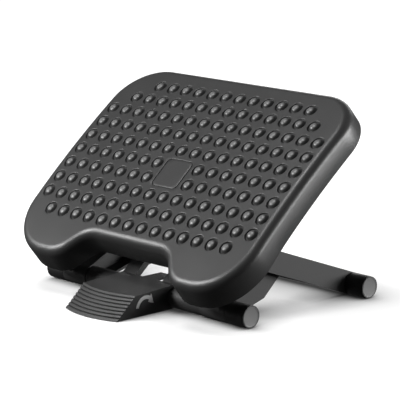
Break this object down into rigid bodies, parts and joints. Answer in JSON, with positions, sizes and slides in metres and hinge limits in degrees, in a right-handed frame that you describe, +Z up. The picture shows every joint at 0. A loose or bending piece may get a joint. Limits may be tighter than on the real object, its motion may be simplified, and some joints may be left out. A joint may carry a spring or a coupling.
{
  "type": "tilting under desk footrest",
  "caption": "Tilting footrest: a broad platform with raised round bumps on a folding base of two crossbars, with arms, legs and a ribbed foot pedal at the front.",
  "frame": {"origin": "on the floor, under the middle of the footrest's length and width as it stands with the platform fully tilted", "axes": "+X across the platform, to the right of a user who faces +Y; +Y away from the user, towards the back; +Z up"},
  "size_m": [0.4498, 0.3604, 0.2794],
  "materials": {
    "platform_plastic": "fine moulded texture, satin where feet rub the bumps",
    "frame_plastic": "fine moulded texture",
    "cap_plastic": "grey moulded disc with a thin bright rim",
    "foot_rubber": "smooth matt black",
    "steel": "drawn bar",
    "nylon": "natural washer"
  },
  "bodies": {
    "front_frame": {"front_axle": "steel", "front_cover_right": "frame_plastic", "front_cover_left": "frame_plastic", "front_leg_right": "frame_plastic", "front_leg_left": "frame_plastic", "front_foot_right": "foot_rubber", "front_foot_left": "foot_rubber", "front_end_cap_right": "cap_plastic", "front_end_cap_left": "cap_plastic"},
    "rear_frame": {"rear_axle": "steel", "rear_cover": "frame_plastic", "rear_arm_right": "frame_plastic", "rear_arm_left": "frame_plastic", "rear_foot_right": "foot_rubber", "rear_foot_left": "foot_rubber", "rear_end_cap_right": "cap_plastic", "rear_end_cap_left": "cap_plastic", "fold_pin_right": "steel", "fold_pin_left": "steel", "fold_washer_right": "nylon", "fold_washer_left": "nylon", "tilt_pin_right": "steel", "tilt_pin_left": "steel", "tilt_washer_right": "nylon", "tilt_washer_left": "nylon", "latch_rod": "steel"},
    "platform": {"platform": "platform_plastic"},
    "pedal": {"pedal": "platform_plastic"}
  },
  "joints": [
    {"name": "fold", "type": "hinge", "parent": "front_frame", "child": "rear_frame", "pos_m": [0, 0.03037, 0.06412], "axis": [1, 0, 0], "range_deg": [0, 12]},
    {"name": "tilt", "type": "hinge", "parent": "rear_frame", "child": "platform", "pos_m": [0, -0.0412, 0.08998], "axis": [1, 0, 0], "range_deg": [-35, 0]},
    {"name": "pedal_lift", "type": "hinge", "parent": "front_frame", "child": "pedal", "pos_m": [0, -0.06532, 0.01565], "axis": [1, 0, 0], "range_deg": [-12, 0]}
  ]
}
